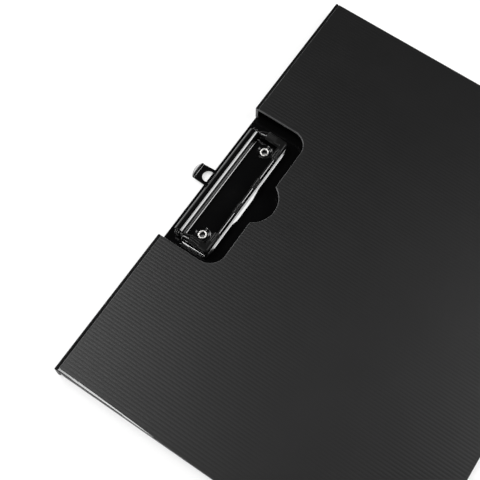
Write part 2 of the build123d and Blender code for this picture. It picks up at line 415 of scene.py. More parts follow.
# A dark non-metal copy of the nickel for the eyelets' bore walls: painted shade down the hole.
bore_shade_nickel = surface(
    "nickel_bore_painted_shade", (0.01, 0.01, 0.01), (0.02, 0.02, 0.02),
    rough=(0.4, 0.5), grain=3.0, bump=0.003, ior=1.2,
)
spring_steel = surface(
    "spring_steel", (0.34, 0.33, 0.32), (0.46, 0.45, 0.44),
    rough=(0.25, 0.4), grain=5.0, bump=0.004, metallic=1.0,
)


# Mesh tools

# Which of its piece's materials a face has
face_skin = 0
face_cut = 1
face_special = 2


def place_piece(
    name, points, faces, materials, material_of, body, stands_for=(), bevel=0.0, sharp=sheet_sharp
):
    # Points in millimetres become a shaded piece that rides on its body.
    mesh = bpy.data.meshes.new(name)
    mesh.from_pydata((np.asarray(points) * millimetre).tolist(), [], faces)
    for material in materials:
        mesh.materials.append(material)
    mesh.polygons.foreach_set("material_index", material_of)
    tidy = bmesh.new()
    tidy.from_mesh(mesh)
    loose = [v for v in tidy.verts if not v.link_faces]
    bmesh.ops.delete(tidy, geom=loose, context="VERTS")
    bmesh.ops.recalc_face_normals(tidy, faces=tidy.faces)
    tidy.to_mesh(mesh)
    tidy.free()
    piece = bpy.data.objects.new(name, mesh)
    bpy.context.scene.collection.objects.link(piece)
    if bevel:
        round_edges(piece, bevel, bevel_steps)
    shade(piece, sharp)
    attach(piece, body)
    if stands_for:
        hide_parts(*stands_for)
    return piece


def place_plain(name, points, faces, material, body, stands_for=(), bevel=0.0):
    # A piece with one finish all over.
    finish = [face_skin] * len(faces)
    return place_piece(name, points, faces, [material], finish, body, stands_for, bevel)


def round_edges(piece, width, steps):
    rounding = piece.modifiers.new("rounding", "BEVEL")
    rounding.width = width * millimetre
    rounding.segments = steps
    rounding.limit_method = "ANGLE"
    rounding.angle_limit = math.radians(bevel_angle)
    apply_modifiers(piece)


def apply_modifiers(piece):
    ready = piece.evaluated_get(bpy.context.evaluated_depsgraph_get())
    mesh = bpy.data.meshes.new_from_object(ready)
    piece.modifiers.clear()
    piece.data = mesh


def shade(piece, sharp):
    # Large flat faces stay flat up to the small faces of their rounded edges.
    piece.data.shade_smooth()
    piece.data.set_sharp_from_angle(angle=math.radians(sharp))
    flatten = piece.modifiers.new("flat faces", "WEIGHTED_NORMAL")
    flatten.keep_sharp = True
    apply_modifiers(piece)


def closed_sheet(top, bottom, keep=None, cell_finish=None):
    # Two grids of points make a sheet. Cells that keep leaves out are openings. Both
    # sides of a cell get its finish, but a special finish is for the top alone.
    columns, rows = top.shape[:2]
    if keep is None:
        keep = np.ones((columns - 1, rows - 1), bool)
    number = np.arange(columns * rows).reshape(columns, rows)
    below = columns * rows
    padded = np.zeros((columns + 1, rows + 1), bool)
    padded[1:-1, 1:-1] = keep
    faces = []
    finish = []
    walls = []
    for i, j in zip(*np.nonzero(keep)):
        a, b = int(number[i, j]), int(number[i + 1, j])
        c, d = int(number[i + 1, j + 1]), int(number[i, j + 1])
        faces.append((a, b, c, d))
        faces.append((d + below, c + below, b + below, a + below))
        own = face_skin if cell_finish is None else int(cell_finish[i, j])
        finish += [own, face_skin if own == face_special else own]
        beside = ((a, b, i + 1, j), (b, c, i + 2, j + 1), (c, d, i + 1, j + 2), (d, a, i, j + 1))
        for p, q, column, row in beside:
            if not padded[column, row]:
                walls.append((q, p, p + below, q + below))
    points = np.concatenate([top.reshape(-1, 3), bottom.reshape(-1, 3)])
    return points, faces + walls, finish + [face_cut] * len(walls)


def closed_tube(rings):
    # Rings of points, one after another, with a cap on each end.
    count, around = rings.shape[:2]
    faces = []
    for i in range(count - 1):
        for j in range(around):
            k = (j + 1) % around
            faces.append((i * around + j, (i + 1) * around + j, (i + 1) * around + k, i * around + k))
    caps = [tuple(range(around)), tuple((count - 1) * around + j for j in reversed(range(around)))]
    return rings.reshape(-1, 3), faces + caps, [face_skin] * len(faces) + [face_cut] * len(caps)


def lathe(profile, x, y, shaded_step):
    # A closed profile of radius and height, turned about an upright axis. The step named by the
    # last argument gets the second finish, a dark copy that paints the shade down the bore.
    turn = np.linspace(0, 2 * math.pi, round_sides, endpoint=False)
    radius, height = np.array(profile).T
    points = np.stack(
        [
            x + np.outer(np.cos(turn), radius),
            y + np.outer(np.sin(turn), radius),
            np.outer(np.ones(round_sides), height),
        ],
        axis=-1,
    )
    steps = len(profile)
    faces = []
    for i in range(round_sides):
        n = (i + 1) % round_sides
        for j in range(steps):
            k = (j + 1) % steps
            faces.append((i * steps + j, n * steps + j, n * steps + k, i * steps + k))
    return points.reshape(-1, 3), faces, [int(j == shaded_step) for j in range(steps)] * round_sides


def rounded(corners, radii, steps=arc_steps):
    # A bent line whose inner corners become arcs.
    line = [corners[0]]
    for before, corner, after, radius in zip(corners, corners[1:], corners[2:], radii):
        here = Vector(corner)
        back = (Vector(before) - here).normalized()
        on = (Vector(after) - here).normalized()
        half = back.angle(on) / 2
        centre = here + (back + on).normalized() * (radius / math.sin(half))
        start = here + back * (radius / math.tan(half)) - centre
        end = here + on * (radius / math.tan(half)) - centre
        for step in range(steps + 1):
            part = start.slerp(end, step / steps)
            line.append(tuple(centre + part.normalized() * radius))
    line.append(corners[-1])
    return np.array(line)


def line_normals(line):
    # Upward on a line that runs towards +x.
    ahead = np.diff(line, axis=0)
    ahead /= np.linalg.norm(ahead, axis=1)[:, None]
    along = np.concatenate([ahead[:1], ahead[:-1] + ahead[1:], ahead[-1:]])
    along /= np.linalg.norm(along, axis=1)[:, None]
    return np.stack([-along[:, 1], along[:, 0]], axis=-1)


def edge_offsets(radius):
    # How far in from an edge the points of its rounding lie.
    turn = np.linspace(0, math.pi / 2, edge_steps + 1)
    return radius * (1 - np.cos(turn))


def outline_distance(x, y, outline):
    # How far each point lies from the nearest run of a closed outline.
    nearest = np.full(x.shape, np.inf)
    for (x0, y0), (x1, y1) in zip(outline, np.roll(outline, -1, axis=0)):
        length = (x1 - x0) ** 2 + (y1 - y0) ** 2
        if length == 0:
            continue
        share = np.clip(((x - x0) * (x1 - x0) + (y - y0) * (y1 - y0)) / length, 0, 1)
        away = np.hypot(x - x0 - share * (x1 - x0), y - y0 - share * (y1 - y0))
        nearest = np.minimum(nearest, away)
    return nearest


def edge_fall(distance, radius):
    # How far a rounded edge lies below the flat, at this distance from the edge.
    inward = np.clip(radius - distance, 0, radius)
    return radius - np.sqrt(radius**2 - inward**2)


def rib_fall(x):
    # How far the skin lies below the ribs' crests.
    wave = 0.5 - 0.5 * np.cos(2 * math.pi * x / rib_pitch)
    return rib_height * wave**rib_sharpness


# Folder sheets

def even_columns(half_width, *stops):
    # Evenly spaced places across a sheet, and which of them is nearest to each stop.
    count = round(2 * half_width / rib_pitch) * rib_steps
    x = np.linspace(-half_width, half_width, count + 1)
    return x, [int(np.argmin(np.abs(x - stop))) for stop in stops]


def cutout_edge(x, left, right):
    # Where the cover ends towards the clip, along the cutout's front.
    y = cutout_front
    for side_x, inward in ((left, 1), (right, -1)):
        centre = side_x + inward * cutout_corner
        if (x - centre) * inward < 0:
            reach = min(abs(x - centre), cutout_corner)
            y = cutout_front + cutout_corner - math.sqrt(cutout_corner**2 - reach**2)
    across = abs(x - notch_offset)
    corner_y = notch_inset + notch_corner
    corner_x = math.sqrt((notch_radius + notch_corner) ** 2 - corner_y**2)
    meet_x = corner_x * notch_radius / (notch_radius + notch_corner)
    if across < meet_x:
        return cutout_front + notch_inset - math.sqrt(notch_radius**2 - across**2)
    if across < corner_x:
        return cutout_front - notch_corner + math.sqrt(notch_corner**2 - (across - corner_x) ** 2)
    return y


def inset_edge(x, opening, distance, beside):
    # Where a disc of this radius, rolled along the cutout's front, reaches down to.
    near = opening[np.abs(opening[:, 0] - x) < distance]
    if len(near) == 0:
        return beside - distance
    return float(np.min(near[:, 1] - np.sqrt(distance**2 - (near[:, 0] - x) ** 2)))


def sheet_corner(x, half_width, radius):
    # How far a rounded corner pulls the short edges in at this place.
    beyond = max(0.0, abs(x) - (half_width - radius))
    return radius - math.sqrt(max(0.0, radius**2 - beyond**2))


def make_cover():
    half = cover_width / 2
    x, (left, right) = even_columns(half, cutout_left, cutout_right)
    offsets = edge_offsets(edge_round)
    split = cutout_front + cutout_corner
    front = -cover_span
    fine = np.linspace(x[left], x[right], rim_points)
    rim = np.array([(at, cutout_edge(at, x[left], x[right])) for at in fine])
    y = []
    for number, at in enumerate(x):
        pull = sheet_corner(at, half, cover_corner)
        end = cutout_edge(at, x[left], x[right]) if left < number < right else split
        start = front + pull
        rear = -crease_reach - pull
        near = [inset_edge(at, rim, reach, split) for reach in (2 * edge_round, *offsets[:0:-1])]
        low = np.linspace(start + edge_round, -pressed_length, cover_rows)[:-1]
        low = np.append(low, np.linspace(-pressed_length, near[0], pressed_rows)[:-1])
        high = np.linspace(split, rear - edge_round, cover_rows)[1:]
        row = [start + offsets[:-1], low, near, [end], high, (rear - offsets[:-1])[::-1]]
        y.append(np.concatenate(row))
    y = np.array(y)
    keep = np.ones((len(x) - 1, y.shape[1] - 1), bool)
    upper = y.shape[1] - len(offsets) - len(high) + 1
    keep[left:right, upper - 1 :] = False
    opening = [(at, cutout_edge(at, x[left], x[right])) for at in x[left : right + 1]]
    outline = sheet_outline(half, front, -crease_reach, cover_corner)
    outline = np.concatenate([outline, [(x[left], -crease_reach)], opening, [(x[right], -crease_reach)]])
    x = np.repeat(x[:, None], y.shape[1], axis=1)
    away = outline_distance(x, y, outline)
    half_sheet = sheet / 2
    pressed, shiny = pressed_fall(x + half, y)
    fall = np.maximum(np.maximum(rib_fall(x), edge_fall(away, edge_round)), pressed)
    top = np.stack([x, y, half_sheet - fall], axis=-1)
    bottom = np.stack([x, y, edge_fall(away, edge_round) - half_sheet], axis=-1)
    finish = np.where(all_round(shiny), face_special, face_skin)
    # The rounding of the cut edges takes the pale cut foam, partly a painted highlight.
    finish = np.where(rim_cells(away) & (finish == face_skin), face_cut, finish)
    return lay_cover(top), lay_cover(bottom), keep, finish


def all_round(marked):
    # The cells whose four corners are all marked.
    return marked[1:, 1:] & marked[:-1, 1:] & marked[1:, :-1] & marked[:-1, :-1]


def pressed_fall(inward, y):
    # By the spine the left edge of the cover is pressed down, less and less along it.
    # The lowest strip of it is steeper, and the rest of it shines.
    share = np.clip(1 + y / pressed_length, 0, 1) ** 0.5
    width = pressed_edge * share
    foot = pressed_foot * share
    slope = np.clip(width - inward, 0, None) * math.tan(math.radians(pressed_angle))
    steep = math.tan(math.radians(pressed_foot_angle)) - math.tan(math.radians(pressed_angle))
    fall = slope + np.clip(foot - inward, 0, None) * steep
    shiny = (inward >= foot - hair) & (inward <= width + pressed_margin) & (width > pressed_least)
    return fall, shiny


def rim_cells(away):
    # The cells that lie wholly on the rounding of the cut edge. They get the pale cut foam, whose colour
    # partly paints the light line that the edge catches.
    return all_round(away < edge_round * rim_share)


def sheet_outline(half, front, rear, corner):
    # Down the right side, along the front and up the left side.
    run = np.linspace(half - corner, half, corner_points)
    pull = np.array([sheet_corner(at, half, corner) for at in run])
    upper = np.stack([run, rear - pull], axis=-1)
    lower = np.stack([run, front + pull], axis=-1)
    side = np.concatenate([upper, lower[::-1]])
    return np.concatenate([side, side[::-1] * (-1, 1)])


def lay_cover(points):
    # The cover slopes from its crease down to the back panel.
    x, y, z = points[..., 0], points[..., 1], points[..., 2]
    along = y * math.cos(cover_slope) - z * math.sin(cover_slope)
    up = y * math.sin(cover_slope) + z * math.cos(cover_slope)
    return np.stack([x, crease_y + along, upper_crease + up], axis=-1)


def make_spine(x):
    # A strip with round edges, which are the creases, and slightly hollow ends.
    turn = np.linspace(0, math.pi, spine_points)
    radius = sheet / 2
    ring = []
    for angle in turn:
        ring.append((crease_y + radius * math.cos(angle), upper_crease + radius * math.sin(angle)))
    for angle in turn:
        ring.append((crease_y - radius * math.cos(angle), lower_crease - radius * math.sin(angle)))
    ring = np.array(ring)
    centre = np.clip(ring[:, 1], lower_crease, upper_crease)
    outward = (ring - np.stack([np.full(len(ring), crease_y), centre], axis=-1)) / radius
    outside = np.clip(outward[:, 0], 0, 1)
    rings = []
    middle = (lower_crease + upper_crease) / 2
    reach = (upper_crease - lower_crease) / 2
    for at in x:
        end = min(at - x[0], x[-1] - at)
        fall = np.maximum(rib_fall(at) * outside, edge_fall(end, edge_round))
        near = ring - outward * fall[:, None]
        depth = cut_hollow * np.clip(1 - end / hollow_reach, 0, 1)
        hollow = depth * (1 - ((near[:, 1] - middle) / reach).clip(-1, 1) ** 2)
        toward = 1 if at - x[0] < x[-1] - at else -1
        rings.append(np.concatenate([(at + toward * hollow)[:, None], near], axis=1))
    points, faces, material_of = closed_tube(np.array(rings))
    # The darker crease foam, which paints shade, goes from the outside over three quarters of the upper
    # crease.
    creased = 3 * len(turn) // 4
    for face in range((len(x) - 1) * len(ring)):
        if face % len(ring) < creased:
            material_of[face] = face_special
    return points, faces, material_of


def make_board():
    half = board_width / 2
    x, (left, right) = even_columns(half, cutout_left + tongue_gap, cutout_right - tongue_gap)
    rear = crease_y - crease_reach
    front = -board_depth / 2
    offsets = edge_offsets(edge_round)
    y = []
    for at in x:
        pull = sheet_corner(at, half, board_corner)
        start = front + pull
        end = rear - pull
        middle = np.linspace(start + edge_round, end - edge_round, board_rows)
        low = np.concatenate([start + offsets[:-1], middle])
        y.append(np.concatenate([low, (end - offsets[:-1])[::-1], (clip_edge - offsets)[::-1]]))
    y = np.array(y)
    keep = np.ones((len(x) - 1, y.shape[1] - 1), bool)
    tongue = y.shape[1] - 1 - len(offsets)
    keep[:left, tongue:] = False
    keep[right:, tongue:] = False
    tongue_line = [(x[left], rear), (x[left], clip_edge), (x[right], clip_edge), (x[right], rear)]
    outline = np.concatenate([sheet_outline(half, front, rear, board_corner), tongue_line])
    x = np.repeat(x[:, None], y.shape[1], axis=1)
    away = outline_distance(x, y, outline)
    top = np.stack([x, y, sheet - edge_fall(away, edge_round)], axis=-1)
    bottom = np.stack([x, y, np.maximum(rib_fall(x), edge_fall(away, edge_round))], axis=-1)
    return top, bottom, keep, rim_cells(away)


def cut_discs(piece, discs):
    # Round openings through a finished piece, each from a height to a height.
    for number, (x, y, low, high, radius) in enumerate(discs):
        cutter = bpy.data.objects.new(f"cutter_{number}", bpy.data.meshes.new("cutter"))
        profile = bmesh.new()
        bmesh.ops.create_cone(
            profile,
            cap_ends=True,
            segments=round_sides,
            radius1=radius * millimetre,
            radius2=radius * millimetre,
            depth=(high - low) * millimetre,
            matrix=Matrix.Translation(Vector((x, y, (low + high) / 2)) * millimetre),
        )
        profile.to_mesh(cutter.data)
        profile.free()
        bpy.context.scene.collection.objects.link(cutter)
        cut = piece.modifiers.new("opening", "BOOLEAN")
        cut.object = cutter
        cut.operation = "DIFFERENCE"
        cut.solver = "EXACT"
        apply_modifiers(piece)
        bpy.data.objects.remove(cutter)


points, faces, material_of = closed_sheet(*make_cover())
place_piece(
    "ribbed_cover",
    points,
    faces,
    [foam, cut_and_highlight_foam, pressed_foam],
    material_of,
    "cover",
    ("front_cover",),
)
places, (cut_from, cut_to) = even_columns(cover_width / 2, cutout_left, cutout_right)
for name, columns in (("left", places[: cut_from + 1]), ("right", places[cut_to:])):
    points, faces, material_of = make_spine(columns)
    place_piece(
        f"ribbed_spine_{name}",
        points,
        faces,
        [foam, cut_and_highlight_foam, crease_shade_foam],
        material_of,
        "spine",
        (f"spine_{name}",),
    )
points, faces, material_of = closed_sheet(*make_board())
board = place_piece(
    "ribbed_board",
    points,
    faces,
    [smooth_shaded_foam, cut_and_highlight_foam],
    material_of,
    "base",
    ("back_panel",),
)
holes = []
for _, side in sides:
    holes.append((side * rivet_x, rivet_y, -sheet, 2 * sheet, shank_radius + rivet_clearance))
    holes.append((side * rivet_x, rivet_y, -sheet, recess_depth, washer_width / 2 + recess_clearance))
cut_discs(board, holes)
shade(board, sheet_sharp)


# Clip plate

def plate_path():
    # The middle of the plate's thickness, from its front edge to the curl's end.
    wall_y = pin_y - barrel_radius
    bend_y = wall_y - bend_round
    half = plate_sheet / 2
    line = [(y, plate_bottom + half) for y in np.arange(plate_front, bend_y, plate_step)]
    centre = (bend_y, plate_top + bend_round)
    bend = bend_round + half
    for angle in np.linspace(-90, 0, bend_points):
        turn = math.radians(angle)
        line.append((centre[0] + bend * math.cos(turn), centre[1] + bend * math.sin(turn)))
    curl = barrel_radius - half
    for angle in np.linspace(180, curl_slit - 180, curl_points):
        turn = math.radians(angle)
        line.append((pin_y + curl * math.cos(turn), pin_z + curl * math.sin(turn)))
    return np.array(line)


def make_plate():
    line = plate_path()
    normal = line_normals(line)
    bend_y = pin_y - barrel_radius - bend_round
    count = int(np.argmax(line[:, 0] >= bend_y - hair))
    half_barrel = barrel_length / 2
    inner = np.arange(-plate_side, plate_side + plate_step / 2, plate_step)
    inner[-1] = plate_side
    x = np.concatenate([[-half_barrel], inner, [half_barrel]])
    keep = np.ones((len(x) - 1, len(line) - 1), bool)
    keep[0, :count] = False
    keep[-1, :count] = False
    y = np.repeat(line[None, :, 0], len(x), axis=0)
    z = np.repeat(line[None, :, 1], len(x), axis=0)
    x = np.repeat(x[:, None], len(line), axis=1)
    beyond = np.clip(np.abs(x) - (plate_side - plate_corner), 0, plate_corner)
    pull = plate_corner - np.sqrt(plate_corner**2 - beyond**2)
    share = np.clip(1 - (y - plate_front) / (bend_y - plate_front), 0, 1)
    y[:, :count] += (pull * share)[:, :count]
    away = np.minimum(np.hypot(x - rivet_x, y - rivet_y), np.hypot(x + rivet_x, y - rivet_y))
    floor = dimple_floor / 2 - dimple_soft
    rim = dimple_floor / 2 + dimple_wall + dimple_soft
    rise = np.clip((away - floor) / (rim - floor), 0, 1)
    sink = (plate_bottom - sheet - rest_gap) * (0.5 + 0.5 * np.cos(math.pi * rise))
    z[:, :count] -= sink[:, :count]
    half = plate_sheet / 2
    top = np.stack([x, y + normal[None, :, 0] * half, z + normal[None, :, 1] * half], axis=-1)
    bottom = np.stack([x, y - normal[None, :, 0] * half, z - normal[None, :, 1] * half], axis=-1)
    flat = np.zeros(keep.shape, bool)
    flat[:, : count - 1] = True
    return top, bottom, keep, flat


points, faces, material_of = closed_sheet(*make_plate())
plate = place_piece(
    "clip_body",
    points,
    faces,
    [black_steel, satin_steel],
    material_of,
    "base",
    ("clip_plate",),
    bevel=plate_bevel,
)
cut_discs(
    plate,
    [(side * rivet_x, rivet_y, sheet / 2, plate_top, shank_radius + rivet_clearance) for _, side in sides],
)
shade(plate, metal_sharp)


def rivet_profile():
    # The closed outline of a rivet's wall, and which of its steps is the bore.
    seat = sheet + plate_sheet + rivet_clearance
    bore = rivet_bore / 2
    clinch_top = floor_clearance + rivet_clinch_height
    outside = rivet_head / 2
    crown = seat + rivet_head_height
    head = rounded(
        [(shank_radius, seat), (outside, seat), (outside, crown), (bore, crown), (bore, floor_clearance)],
        [rivet_seat_round, rivet_rim_round, rivet_bore_round],
        steps=rivet_head_steps,
    )
    clinch = rivet_clinch / 2
    foot = rounded(
        [
            (bore, floor_clearance),
            (clinch, floor_clearance),
            (clinch, clinch_top),
            (shank_radius, clinch_top),
        ],
        [rivet_foot_round, rivet_foot_round],
        steps=rivet_foot_steps,
    )
    return list(map(tuple, head)) + list(map(tuple, foot[1:])), len(head) - 2


profile, bore_wall = rivet_profile()
for name, side in sides:
    # The bore wall gets the dark copy of the nickel, painted shade down the hole.
    points, faces, material_of = lathe(profile, side * rivet_x, rivet_y, bore_wall)
    place_piece(
        f"eyelet_{name}",
        points,
        faces,
        [nickel, bore_shade_nickel],
        material_of,
        "base",
        (f"rivet_{name}",),
        sharp=rivet_sharp,
    )


# Sprung jaw

def roof_height(y):
    # The sloping roof, a soft crest and the slope down to the ears.
    rising = fold_height + (crest_height - fold_height) * (y - fold_y) / (crest_y - fold_y)
    fall = (crest_height - arm_start_height) / (arm_start_y - crest_y)
    falling = crest_height - fall * (y - crest_y)
    gap = rising - falling
    return falling + (gap - math.sqrt(gap**2 + crest_soft**2)) / 2 + crest_soft / 4


front_run = jaw_side - jaw_corner
corner_run = jaw_corner * math.pi / 2
arm_from = front_run + corner_run
arm_run = arm_start_y - fold_y - jaw_corner


def bar_depth(x):
    # The front bar of the roof is deeper under the rubber corners.
    step = np.clip((x - (jaw_side - corner_bar_length) + gusset_ease / 2) / gusset_ease, 0, 1)
    return bar_width + (gusset_width - bar_width) * step * step * (3 - 2 * step)


def jaw_plan(run):
    # The outer and inner edge of the jaw's roof, run along its outside from the middle.
    if run <= front_run:
        inner_end = arm_inside - window_corner
        part = max(0.0, run - (front_run - window_squeeze)) / window_squeeze
        inner_x = min(run, front_run - window_squeeze) + part * (inner_end - front_run + window_squeeze)
        return (run, fold_y), (inner_x, fold_y + bar_depth(run))
    if run <= arm_from:
        turn = (run - front_run) / jaw_corner - math.pi / 2
        outer = (front_run + jaw_corner * math.cos(turn), fold_y + jaw_corner + jaw_corner * math.sin(turn))
        inner = (
            arm_inside - window_corner + window_corner * math.cos(turn),
            fold_y + gusset_width + window_corner + window_corner * math.sin(turn),
        )
        return outer, inner
    y = fold_y + jaw_corner + run - front_run - corner_run
    start = fold_y + jaw_corner
    inner_start = fold_y + gusset_width + window_corner
    part = min(1.0, (y - start) / window_squeeze)
    inner_y = y + (1 - part) * (inner_start - start)
    neck = max(0.0, (y - arm_start_y + neck_lead) / neck_run)
    ease = neck * neck * (3 - 2 * neck)
    outer_x = jaw_side + ease * (ear_outside + neck_cover - jaw_side)
    inner_x = arm_inside + ease * (ear_inside - neck_lap - arm_inside)
    return (outer_x, y), (inner_x, inner_y)


def jaw_line(run, offset=0.0, skirt=None):
    # The section of the jaw's skin across its path, as distance inwards and height.
    # With a skirt it is the section of a rubber piece, which hangs down by that much.
    outer, inner = jaw_plan(run)
    width = math.dist(outer, inner)
    z_out = roof_height(outer[1])
    z_in = roof_height(inner[1])
    front = float(np.clip(1 - (outer[1] - fold_y) / (jaw_corner * 2), 0, 1))
    rear = float(np.clip((outer[1] - crest_y + crest_ease / 2) / crest_ease, 0, 1))
    radius = fold_round + (ridge_round - fold_round) * rear
    tight = min(radius, width * roof_share)
    depth = inner_wall
    if outer[1] <= fold_y + jaw_corner:
        depth = inner_wall * (1 - front) + jaw_sheet * bar_wall_sheets * front
    if skirt is None:
        foot_corners, foot_radii = foot_line(outer[1], front)
        corners = foot_corners + [(0, z_out), (width, z_in), (width, z_in - depth)]
        radii = foot_radii + [tight, tight]
    else:
        corners = [(0, z_out - skirt), (0, z_out), (width, z_in), (width, z_in - min(skirt, depth))]
        radii = [tight, tight]
    line = rounded(corners, radii)
    return outer, inner, line + line_normals(line) * offset


def foot_line(y, front):
    # The lip at the front and the flange along the arms, which turn outwards below.
    end = float(np.clip((y - arm_start_y - flange_rear_overhang + flange_end) / flange_end, 0, 1))
    edge_z = sheet + jaw_gap + jaw_sheet * math.cos(math.radians(lip_angle))
    lip_root = edge_z + lip_reach * math.tan(math.radians(lip_angle))
    root = cheek_foot + jaw_sheet + (lip_root - cheek_foot - jaw_sheet) * front
    root += flange_end_rise * end
    reach = (flange_width * (1 - front) + lip_reach * front) * (1 - flange_end_cut * end) / 2
    bow = flange_bow + (lip_bow - flange_bow) * front
    middle = reach * math.tan(math.radians(lip_angle * front - bow))
    edge = middle + reach * math.tan(math.radians(lip_angle * front + bow))
    corners = [(-2 * reach, root - edge), (-reach, root - middle), (0, root)]
    foot = (foot_round * front + flange_foot_round * (1 - front)) * (1 - flange_end_sharp * end)
    return corners, [lip_bow_round * (1 - flange_end_flat * end), foot]


def jaw_grid(runs, offsets, skirt=None):
    # Skins of the jaw at some distances outside its metal, mirrored for runs below zero.
    skins = [[] for _ in offsets]
    for run in runs:
        side = -1 if run < 0 else 1
        for skin, offset in zip(skins, offsets):
            outer, inner, line = jaw_line(abs(run), offset, skirt)
            across = (Vector(inner) - Vector(outer)).normalized()
            x = side * (outer[0] + line[:, 0] * across.x)
            y = outer[1] + line[:, 0] * across.y
            skin.append(np.stack([x, y, line[:, 1]], axis=-1))
    return [np.array(skin) for skin in skins]


end_run = arm_from + arm_run + neck_run - neck_lead
runs = list(np.arange(0, gusset_from, bar_step))
runs += list(np.arange(gusset_from, gusset_to, gusset_step))
runs += list(np.arange(gusset_to, front_run - front_stop_gap, front_step))
runs += list(np.linspace(front_run, arm_from, corner_runs))
runs += list(np.arange(arm_from + arm_first, arm_from + arm_near, arm_near_step))
runs += list(np.arange(arm_from + arm_near, end_run, arm_step))
runs.append(end_run)
runs = [-run for run in reversed(runs[1:])] + runs
outer_skin, inner_skin = jaw_grid(runs, (0.0, -jaw_sheet))
points, faces, _ = closed_sheet(outer_skin, inner_skin)
place_plain("jaw_shell", points, faces, black_steel, "jaw", ("jaw_frame",), jaw_bevel)


def make_ear(side):
    # A flat cheek with a round end about the pin.
    turn = np.linspace(-math.pi / 2, math.pi / 2, ear_points)
    outline = [(arm_start_y + ear_root, arm_start_height - ear_root_drop)]
    outline.append((arm_start_y + ear_foot_step, pin_z - ear_foot + ear_foot_step))
    outline += [(pin_y + ear_radius * math.cos(a), pin_z + ear_radius * math.sin(a)) for a in turn]
    rings = []
    for x in (ear_inside, ear_outside):
        rings.append([(side * x, y, z) for y, z in outline])
    return closed_tube(np.array(rings))


for name, side in sides:
    points, faces, _ = make_ear(side)
    place_plain(f"ear_{name}", points, faces, black_steel, "jaw", bevel=ear_bevel)


# Rubber pieces of the jaw

def even_points(line):
    # The same line with its points at even steps.
    length = np.concatenate([[0], np.cumsum(np.linalg.norm(np.diff(line, axis=0), axis=1))])
    places = np.linspace(0, 1, rubber_points) * length[-1]
    return np.stack([np.interp(places, length, line[:, axis]) for axis in range(3)], axis=-1)


def rubber_piece(name, start, stop, ribbed, node):
    # A cap that wraps the roof from one place on the jaw's path to another.
    offsets = edge_offsets(rubber_end_round)
    low, high = sorted((start, stop))
    count = int((high - low) / rubber_step)
    middle = np.linspace(low + rubber_end_round, high - rubber_end_round, count)
    runs = np.concatenate([low + offsets[:-1], middle, (high - offsets[:-1])[::-1]])
    outer = []
    inner = []
    for run in runs:
        thick = rubber - edge_fall(min(run - low, high - run), rubber_end_round)
        skin, under = jaw_grid([run], (thick, rubber_clearance), rubber_skirt)
        skin = even_points(skin[0])
        strength = ribbed(abs(run)) * rubber_rib
        plan_y = skin[:, 1] - fold_y
        plan_x = jaw_side - np.abs(skin[:, 0])
        across = plan_y if abs(run) < front_run else plan_x
        flat = np.clip((skin[:, 2] - skin[:, 2].max() + rubber_flat) / rubber_flat_fade, 0, 1)
        skin[:, 2] -= strength * flat * (0.5 - 0.5 * np.cos(2 * math.pi * across / rubber_rib_pitch))
        outer.append(skin)
        inner.append(even_points(under[0]))
    points, faces, _ = closed_sheet(np.array(outer), np.array(inner))
    place_plain(name, points, faces, rubber_black, "jaw", (node,), small_bevel)


def corner_ribs(run):
    # The rubber corners are smooth where they turn.
    front = np.clip((front_ribs_end - run) / ribs_fade, 0, 1)
    arm = np.clip((run - (arm_from + arm_ribs_start)) / ribs_fade, 0, 1)
    return max(front, arm)


cap_end = arm_from + crest_y - corner_inset - fold_y - jaw_corner
for name, side in sides:
    start = side * (jaw_side - corner_bar_length)
    rubber_piece(f"rubber_corner_{name}", start, side * cap_end, corner_ribs, f"jaw_corner_{name}")
    middle = lug_offset + side * lug_spacing / 2
    lug_ends = (middle - lug_width / 2, middle + lug_width / 2)
    rubber_piece(f"rubber_lug_{name}", *lug_ends, lambda run: 1.0, f"grip_lug_{name}")


# Hanger

def hook_line(height, bend, tilt):
    # The middle of the hook's thickness, from its tail to the tip of its lip.
    tail = hanger_shoulder - hanger_head_depth
    tip = (bend + hanger_lip * math.cos(tilt), height + hanger_lip * math.sin(tilt))
    turned = rounded([(tail, height), (bend, height), tip], [hanger_bend_round], steps=hook_bend_steps)
    rows = [
        *np.linspace(tail, hanger_shoulder, hook_head_rows),
        *np.linspace(hanger_shoulder + hanger_shoulder_step, clip_edge, hook_rows),
        *np.linspace(clip_edge + hook_row_gap, bend - hook_bend_gap, hook_rows),
    ]
    line = [(y, height) for y in rows] + [tuple(point) for point in turned[1:-1]]
    for part in np.linspace(hook_lip_first, 1, hook_lip_rows):
        line.append(tuple(turned[-2] + (turned[-1] - turned[-2]) * part))
    return np.array(line)


def hook_reach(y):
    # Half the hook's width at this place.
    if y <= hanger_shoulder + hair:
        return hanger_head / 2
    if y <= clip_edge:
        return hanger_neck / 2
    part = min(1.0, (y - clip_edge) / hanger_out)
    return (hanger_neck + (hanger_end - hanger_neck) * part) / 2


def make_hook():
    half = hanger_sheet / 2
    bend = clip_edge + hanger_out
    tilt = math.radians(hanger_lip_angle)
    line = hook_line(hanger_bottom + half, bend, tilt)
    tip_y = bend + hanger_lip * math.cos(tilt)
    across = np.linspace(-1, 1, hook_columns)
    top = []
    bottom = []
    for (y, z), (ny, nz) in zip(line, line_normals(line)):
        x = hanger_offset + across * hook_reach(y)
        arch = hanger_lip_arch * across**2 * np.clip((y - bend) / (tip_y - bend), 0, 1)
        down = np.zeros((hook_columns, 2))
        if y > bend:
            down = np.stack([-arch, -arch * math.tan(tilt)], axis=-1)
        for skin, out in ((top, half), (bottom, -half)):
            skin.append(np.stack([x, y + ny * out + down[:, 0], z + nz * out + down[:, 1]], axis=-1))
    return np.swapaxes(np.array(top), 0, 1), np.swapaxes(np.array(bottom), 0, 1)


